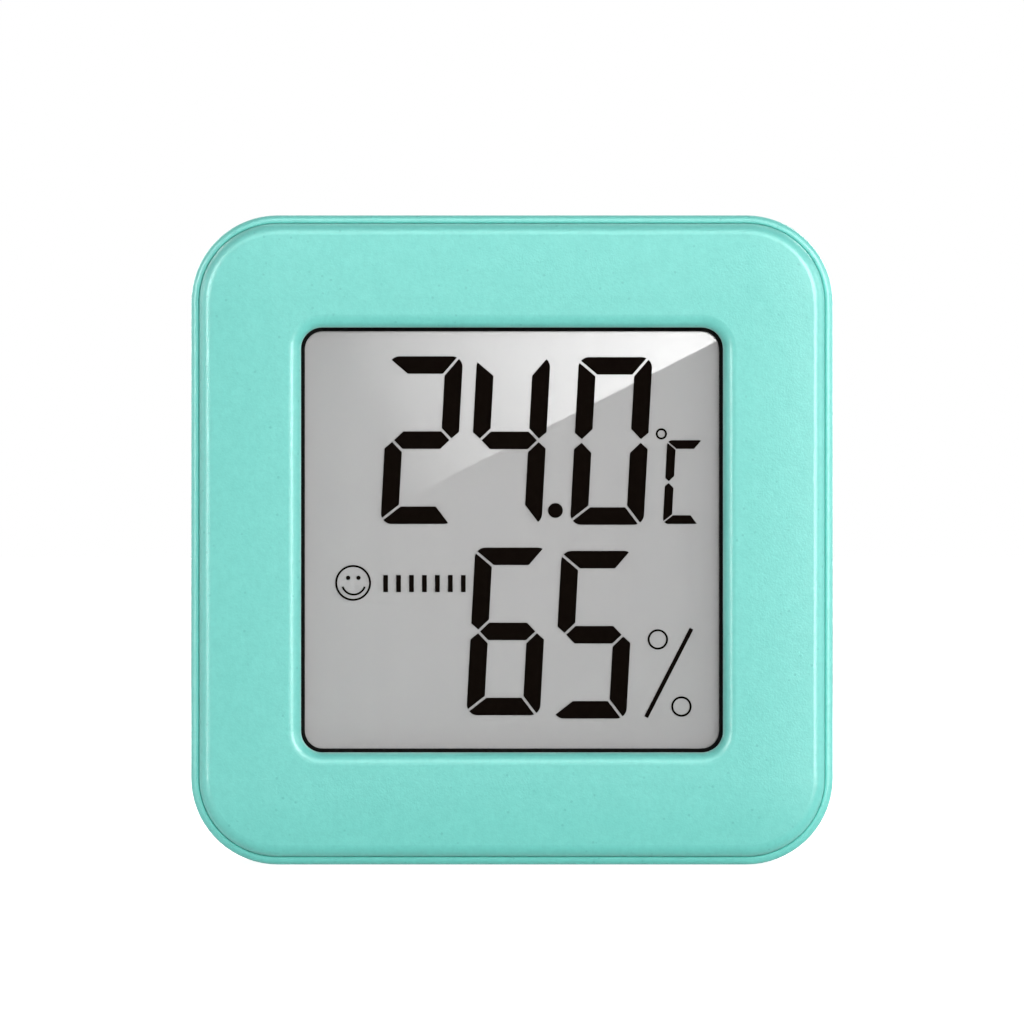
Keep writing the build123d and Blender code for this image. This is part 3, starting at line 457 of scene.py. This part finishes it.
def white_plastic():
    """Moulded white plastic with a fine matt grain."""
    finish = Finish("white_plastic")
    grain = finish.noise(0.15 * MM, detail=2.0)
    cloud = finish.noise(2.0 * MM)
    tone = finish.wander(cloud, (0.74, 0.74, 0.71), (0.81, 0.81, 0.79))
    return finish.shade(tone, 0.5, finish.bump(grain, 0.006 * MM))


def layered_rubber():
    """Contact strip: dark conducting layers between pale ones, side by side along it."""
    finish = Finish("layered_rubber")
    pitch = 0.18 * MM
    turns = finish.maths("MULTIPLY", finish.along("X"), 2.0 * math.pi / pitch)
    layer = finish.spread(finish.maths("SINE", turns), -0.2, 0.2)
    tone = finish.blend(layer, (0.03, 0.03, 0.03), (0.55, 0.53, 0.5))
    return finish.shade(tone, 0.6, finish.bump(layer, 0.004 * MM))


def solder_mask():
    """Green lacquer over copper tracks and glass cloth."""
    finish = Finish("solder_mask")
    cloth = finish.noise(0.35 * MM, detail=1.0, stretch=(1, 1, 3))
    track = finish.cells(1.8 * MM, distance="CHEBYCHEV")
    copper = finish.spread(track, 0.34, 0.38)
    tone = finish.wander(cloth, (0.008, 0.09, 0.03), (0.012, 0.11, 0.04))
    tone = finish.blend(copper, tone, (0.02, 0.2, 0.07))
    return finish.shade(tone, 0.28, finish.bump(copper, 0.02 * MM), **{"Coat Weight": 0.4})


def potting_resin():
    """Glossy black resin with slow ripples and a little dust."""
    finish = Finish("potting_resin")
    ripple = finish.noise(1.5 * MM)
    dust = finish.spread(finish.noise(0.08 * MM, detail=0.0), 0.7, 0.8, 0.0, 0.3)
    tone = finish.blend(dust, (0.012, 0.012, 0.013), (0.08, 0.08, 0.08))
    return finish.shade(tone, 0.22, finish.bump(ripple, 0.06 * MM))


def chip_ceramic(name, box, axis, body_share, colour):
    """Ceramic body between tinned ends, which takes up a share of the chips' box along an axis."""
    finish = Finish(name)
    low, high = (corner["XYZ".index(axis)] for corner in box)
    half_body = body_share * (high - low) / 2
    border = 0.02 * MM
    from_middle = finish.maths("SUBTRACT", finish.along(axis), (low + high) / 2)
    offset = finish.maths("ABSOLUTE", from_middle)
    end = finish.spread(offset, half_body - border, half_body + border)
    grain = finish.noise(0.1 * MM)
    tone = finish.wander(grain, darker(colour, 0.85), darker(colour, 1.1))
    tone = finish.blend(end, tone, (0.62, 0.62, 0.63))
    shiny = finish.spread(end, 0.0, 1.0, 0.45, 0.25)
    return finish.shade(tone, shiny, finish.bump(grain, 0.01 * MM), Metallic=end)


def lidded_ceramic(lid_at):
    """Ceramic base whose metal lid starts at a depth, in metres along Y."""
    finish = Finish("lidded_ceramic")
    border = 0.01 * MM
    lid = finish.spread(finish.along("Y"), lid_at - border, lid_at + border)
    grain = finish.noise(0.2 * MM, stretch=(0.1, 1, 1))
    tone = finish.wander(grain, (0.035, 0.03, 0.026), (0.05, 0.044, 0.04))
    tone = finish.blend(lid, tone, (0.72, 0.7, 0.64))
    return finish.shade(tone, 0.3, finish.bump(grain, 0.003 * MM), Metallic=lid)


def turned_metal(name, tone, centre_height):
    """Plated steel turned about the cell's axis: fine rings, with a faint blotch of handling."""
    finish = Finish(name)
    x = finish.along("X")
    z = finish.maths("SUBTRACT", finish.along("Z"), centre_height)
    squares = finish.maths("ADD", finish.maths("MULTIPLY", x, x), finish.maths("MULTIPLY", z, z))
    radius = finish.node("CombineXYZ", {"X": finish.maths("SQRT", squares)}).outputs[0]
    rings = finish.node(
        "TexNoise", {"Vector": radius, "Scale": 1.0 / (0.08 * MM), "Detail": 3.0}
    ).outputs["Fac"]
    blotch = finish.noise(3.0 * MM, detail=3.0)
    shade = finish.wander(blotch, darker(tone, 0.88), tone)
    rough = finish.spread(rings, *NOISE_RANGE, 0.2, 0.34)
    return finish.shade(shade, rough, finish.bump(rings, 0.002 * MM), Metallic=1.0)


def drawn_metal(name, tone, stretch):
    """Plated sheet or wire with fine lines drawn along it."""
    finish = Finish(name)
    lines = finish.noise(0.06 * MM, detail=3.0, stretch=stretch)
    blotch = finish.noise(2.0 * MM)
    shade = finish.wander(blotch, darker(tone, 0.85), tone)
    rough = finish.spread(lines, *NOISE_RANGE, 0.22, 0.4)
    return finish.shade(shade, rough, finish.bump(lines, 0.002 * MM), Metallic=1.0)


def dull_filling(name, tone, grain_size, roughness):
    """Pressed powder, resin or nylon, by its tone and grain."""
    finish = Finish(name)
    grain = finish.noise(grain_size, detail=3.0)
    shade = finish.wander(grain, darker(tone, 0.8), darker(tone, 1.1))
    return finish.shade(shade, roughness, finish.bump(grain, 0.01 * MM))


# Operators, one for each piece or group of like pieces


class SENSOR_OT_case(bpy.types.Operator):
    """Gives the case, the battery cover, the stand and the button their moulded plastic"""

    bl_idname = "sensor.case"
    bl_label = "Case plastic"

    def execute(self, context):
        plastic = moulded_plastic(context.scene.sensor_case)
        paint(plastic, "front_case", "back_case", "battery_cover", "stand", "unit_button")
        return {"FINISHED"}


class SENSOR_OT_display(bpy.types.Operator):
    """Finishes the window, its gasket, the films, the glass and the segments"""

    bl_idname = "sensor.display"
    bl_label = "Display"

    def execute(self, context):
        look = context.scene.sensor_display
        glassy = {"Coat Weight": 1.0, "Coat Roughness": 0.0, "Coat IOR": 1.8}
        window = clear_sheet("clear_window", tint=0.992, roughness=0.02, spots=0.15)
        paint(window, "display_window")
        paint(black_foam(), "window_gasket")
        paint(film("polarising_film", look.film_tint), "front_polariser")
        paint(film("display_glass", tint=0.99), "lcd_front_glass")
        let_light_by("display_window", "front_polariser", "lcd_front_glass")
        resin = dull_filling("seal_resin", (0.5, 0.46, 0.36), grain_size=0.2 * MM, roughness=0.4)
        paint(resin, "lcd_seal")
        paint(segment_layer(look), "lcd_digits", "lcd_signs")
        paint(silvery_film("reflector_film", look), "lcd_reflector")
        paint(silvery_film("backed_glass", look, **glassy), "lcd_rear_glass")
        paint(white_plastic(), "lcd_holder")
        paint(layered_rubber(), "contact_strip")
        return {"FINISHED"}


class SENSOR_OT_board(bpy.types.Operator):
    """Finishes the circuit board and what is soldered or screwed to it"""

    bl_idname = "sensor.board"
    bl_label = "Circuit board"

    def execute(self, context):
        resistor = chip_ceramic(
            "resistor_ceramic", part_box("resistors"), "Z", RESISTOR_BODY_SHARE, (0.02, 0.02, 0.022)
        )
        capacitor = chip_ceramic(
            "capacitor_ceramic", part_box("capacitors"), "X", CAPACITOR_BODY_SHARE, (0.42, 0.27, 0.14)
        )
        lid_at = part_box("clock_crystal")[1][1] - CRYSTAL_LID_THICKNESS
        paint(solder_mask(), "circuit_board")
        paint(drawn_metal("zinc_screw", (0.6, 0.61, 0.63), stretch=(1, 4, 1)), "board_screws")
        paint(potting_resin(), "controller_chip", "humidity_sensor")
        paint(lidded_ceramic(lid_at), "clock_crystal")
        paint(resistor, "resistors")
        paint(capacitor, "capacitors")
        black = dull_filling(
            "black_plastic", (0.02, 0.02, 0.021), grain_size=0.15 * MM, roughness=0.45
        )
        paint(black, "switch_body", "switch_plunger")
        return {"FINISHED"}


class SENSOR_OT_cell(bpy.types.Operator):
    """Finishes the coin cell and the two contacts that touch it"""

    bl_idname = "sensor.cell"
    bl_label = "Coin cell"

    def execute(self, context):
        low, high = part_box("cell_can")
        middle = (low[2] + high[2]) / 2
        paint(turned_metal("nickel_can", (0.66, 0.65, 0.61), middle), "cell_can")
        paint(turned_metal("nickel_cap", (0.7, 0.69, 0.66), middle), "cell_cap")
        nylon = dull_filling("seal_nylon", (0.68, 0.68, 0.64), grain_size=0.2 * MM, roughness=0.5)
        paint(nylon, "cell_gasket")
        powder = dull_filling(
            "pressed_powder", (0.03, 0.03, 0.03), grain_size=0.08 * MM, roughness=0.9
        )
        paint(powder, "cell_core")
        spring = drawn_metal("spring_steel", (0.64, 0.62, 0.56), stretch=(0.1, 1, 1))
        paint(spring, "negative_contact", "positive_contact")
        return {"FINISHED"}


def grid_mesh(name, points):
    """Mesh over a grid of points, whose array runs (rows, columns, 3)."""
    rows, columns = points.shape[:2]
    corner = np.arange(rows * columns).reshape(rows, columns)
    faces = np.stack(
        [corner[:-1, :-1], corner[:-1, 1:], corner[1:, 1:], corner[1:, :-1]], axis=-1
    ).reshape(-1, 4)
    mesh = bpy.data.meshes.new(name)
    mesh.from_pydata(points.reshape(-1, 3), [], faces)
    made = bpy.data.objects.new(name, mesh)
    bpy.context.scene.collection.objects.link(made)
    return made


def floor_finish():
    """Pale floor that the camera sees as white, with the object's shadow on it, and that
    reflections see as plain white."""
    finish = Finish("pale_floor")
    grain = finish.noise(1.0 * MM)
    tone = finish.wander(grain, (0.69, 0.69, 0.69), (0.71, 0.71, 0.71))
    lit = finish.node("BsdfDiffuse", {"Color": tone})
    path = finish.node("LightPath")
    to_camera = finish.maths("MULTIPLY", path.outputs["Is Camera Ray"], FLOOR_GLOW)
    glow = finish.node("Emission", {"Strength": to_camera})
    both = finish.node("AddShader")
    finish.give(both.inputs[0], lit.outputs[0])
    finish.give(both.inputs[1], glow.outputs[0])
    white = finish.node("Emission", {"Strength": 1.0})
    mixed = finish.node("MixShader", {"Fac": path.outputs["Is Glossy Ray"]})
    finish.give(mixed.inputs[1], both.outputs[0])
    finish.give(mixed.inputs[2], white.outputs[0])
    finish.end(mixed.outputs[0])
    return finish.material


def set_world(ambient):
    """Even light on the object, and plain white for the camera and for reflections."""
    world = bpy.data.worlds.new("white_room")
    world.use_nodes = True
    tree = world.node_tree
    tree.nodes.clear()
    add = tree.nodes.new
    output, path = add("ShaderNodeOutputWorld"), add("ShaderNodeLightPath")
    even, white = add("ShaderNodeBackground"), add("ShaderNodeBackground")
    for light, strength in ((even, ambient), (white, 1.0)):
        light.inputs["Color"].default_value = (1, 1, 1, 1)
        light.inputs["Strength"].default_value = strength
    seen_or_mirrored, plain = add("ShaderNodeMath"), add("ShaderNodeMath")
    seen_or_mirrored.operation = plain.operation = "MAXIMUM"
    mixed = add("ShaderNodeMixShader")
    join = tree.links.new
    join(path.outputs["Is Camera Ray"], seen_or_mirrored.inputs[0])
    join(path.outputs["Is Glossy Ray"], seen_or_mirrored.inputs[1])
    join(seen_or_mirrored.outputs[0], plain.inputs[0])
    join(path.outputs["Is Transmission Ray"], plain.inputs[1])
    join(plain.outputs[0], mixed.inputs[0])
    join(even.outputs[0], mixed.inputs[1])
    join(white.outputs[0], mixed.inputs[2])
    join(mixed.outputs[0], output.inputs["Surface"])
    bpy.context.scene.world = world


def area_lamp(name, place, size, power, shown=True):
    """Rectangular lamp, its width and height in metres, that faces the middle of the object.
    Gloss mirrors it only if it is shown."""
    lamp = bpy.data.lights.new(name, "AREA")
    lamp.shape = "RECTANGLE"
    lamp.size, lamp.size_y = size
    lamp.energy = power
    made = bpy.data.objects.new(name, lamp)
    bpy.context.scene.collection.objects.link(made)
    middle = (Vector(CAD_BOX[0]) + Vector(CAD_BOX[1])) / 2
    made.location = place
    made.rotation_euler = (middle - made.location).to_track_quat("-Z", "Y").to_euler()
    made.visible_glossy = shown
    return made


def strip_lamp(name, azimuth, rise, size, power):
    """Lamp that shows only as a glint. Its azimuth to the viewer's right and its rise are in
    degrees, seen from the object."""
    turn, lift = math.radians(azimuth), math.radians(rise)
    level = STRIP_DISTANCE * math.cos(lift)
    height = STRIP_DISTANCE * math.sin(lift)
    place = (level * math.sin(turn), -level * math.cos(turn), height)
    area_lamp(name, place, size, power).visible_diffuse = False


def glare_card(look):
    """White card behind the camera that the display's glass mirrors. Its lower edge is the slanting
    line of light on the display, and it is brighter along that line to the upper right."""
    glass_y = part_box("lcd_rear_glass")[0][1]
    lens_y = CAD_BOX[0][1] - look.camera_distance
    reach = glass_y - lens_y
    card_y = lens_y - reach
    whole_path = 3 * reach  # from the lens to the glass, and back past the lens to the card
    away = whole_path / look.camera_distance

    def on_card(x, z):
        """A point that the camera sees at the case's face, as the place that it mirrors."""
        return np.array((x * away, card_y, look.camera_height + (z - look.camera_height) * away))

    low, high, faintest = (on_card(*end) for end in (GLARE_LOW_END, GLARE_HIGH_END, GLARE_FAINTEST))
    along = (high - low) / np.linalg.norm(high - low)
    across = np.cross((0, -1, 0), along)
    u = np.linspace(CARD_START, CARD_END, 2)[:, None, None]
    v = np.linspace(0, CARD_HEIGHT, 2)[None, :, None]
    card = grid_mesh("glare_card", low + u * along + v * across)
    finish = Finish("glare_card")
    place_along = finish.node(
        "VectorMath", {0: finish.where, 1: tuple(along)}, operation="DOT_PRODUCT"
    ).outputs["Value"]
    strength = finish.spread(place_along, faintest @ along, high @ along, 1.0, look.card_strength)
    finish.end(finish.node("Emission", {"Strength": strength}).outputs[0])
    card.data.materials.append(finish.material)
    card.visible_camera = False
    card.visible_diffuse = False
    card.visible_transmission = False
    card.visible_shadow = False
    return card


class SENSOR_OT_stage(bpy.types.Operator):
    """Builds the floor, the world, the lamps, the card and the camera"""

    bl_idname = "sensor.stage"
    bl_label = "Studio"

    def execute(self, context):
        look = context.scene.sensor_stage
        across = np.linspace(-FLOOR_REACH, FLOOR_REACH, FLOOR_POINTS)
        x, y = np.meshgrid(across, across, indexing="ij")
        floor = grid_mesh("floor", np.stack([x, y, np.full_like(x, -FLOOR_GAP)], axis=-1))
        floor.data.materials.append(floor_finish())
        glare_card(look)
        set_world(look.ambient)
        area_lamp("key_lamp", *KEY_LAMP, look.key_strength)
        area_lamp("front_lamp", *FRONT_LAMP, look.front_strength, shown=False)
        for name, (place, size, power, shown) in ROUND_LAMPS.items():
            area_lamp(name, place, size, power, shown)
        for name, (azimuth, rise, size, times) in STRIP_LAMPS.items():
            strip_lamp(name, azimuth, rise, size, times * look.strip_strength)
        camera = bpy.data.cameras.new("camera")
        camera.sensor_width = SENSOR_WIDTH
        camera.lens = camera.sensor_width * look.camera_distance / look.field_width
        camera.clip_start = CLIP_START
        seen = bpy.data.objects.new("camera", camera)
        context.scene.collection.objects.link(seen)
        seen.location = (0.0, CAD_BOX[0][1] - look.camera_distance, look.camera_height)
        seen.rotation_euler = (math.pi / 2, 0.0, 0.0)
        context.scene.camera = seen
        context.scene.view_settings.view_transform = "Standard"
        return {"FINISHED"}


STEPS = (SENSOR_OT_case, SENSOR_OT_display, SENSOR_OT_board, SENSOR_OT_cell, SENSOR_OT_stage)
LOOKS = {"sensor_case": CaseLook, "sensor_display": DisplayLook, "sensor_stage": StageLook}


class SENSOR_PT_sidebar(bpy.types.Panel):
    """Lists the steps, and the sizes and colours that they use"""

    bl_idname = "SENSOR_PT_sidebar"
    bl_label = "Sensor"
    bl_space_type = "VIEW_3D"
    bl_region_type = "UI"
    bl_category = "Sensor"

    def draw(self, context):
        for name, look in LOOKS.items():
            column = self.layout.column()
            for key in look.__annotations__:
                column.prop(getattr(context.scene, name), key)
        for step in STEPS:
            self.layout.operator(step.bl_idname)


def register():
    for made in (*LOOKS.values(), *STEPS, SENSOR_PT_sidebar):
        bpy.utils.register_class(made)
    for name, look in LOOKS.items():
        setattr(bpy.types.Scene, name, bpy.props.PointerProperty(type=look))


def unregister():
    for name in LOOKS:
        delattr(bpy.types.Scene, name)
    for made in (SENSOR_PT_sidebar, *reversed(STEPS), *LOOKS.values()):
        bpy.utils.unregister_class(made)


def main():
    """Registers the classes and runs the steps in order."""
    register()
    for step in STEPS:
        family, name = step.bl_idname.split(".")
        getattr(getattr(bpy.ops, family), name)()


if __name__ == "__main__":
    main()
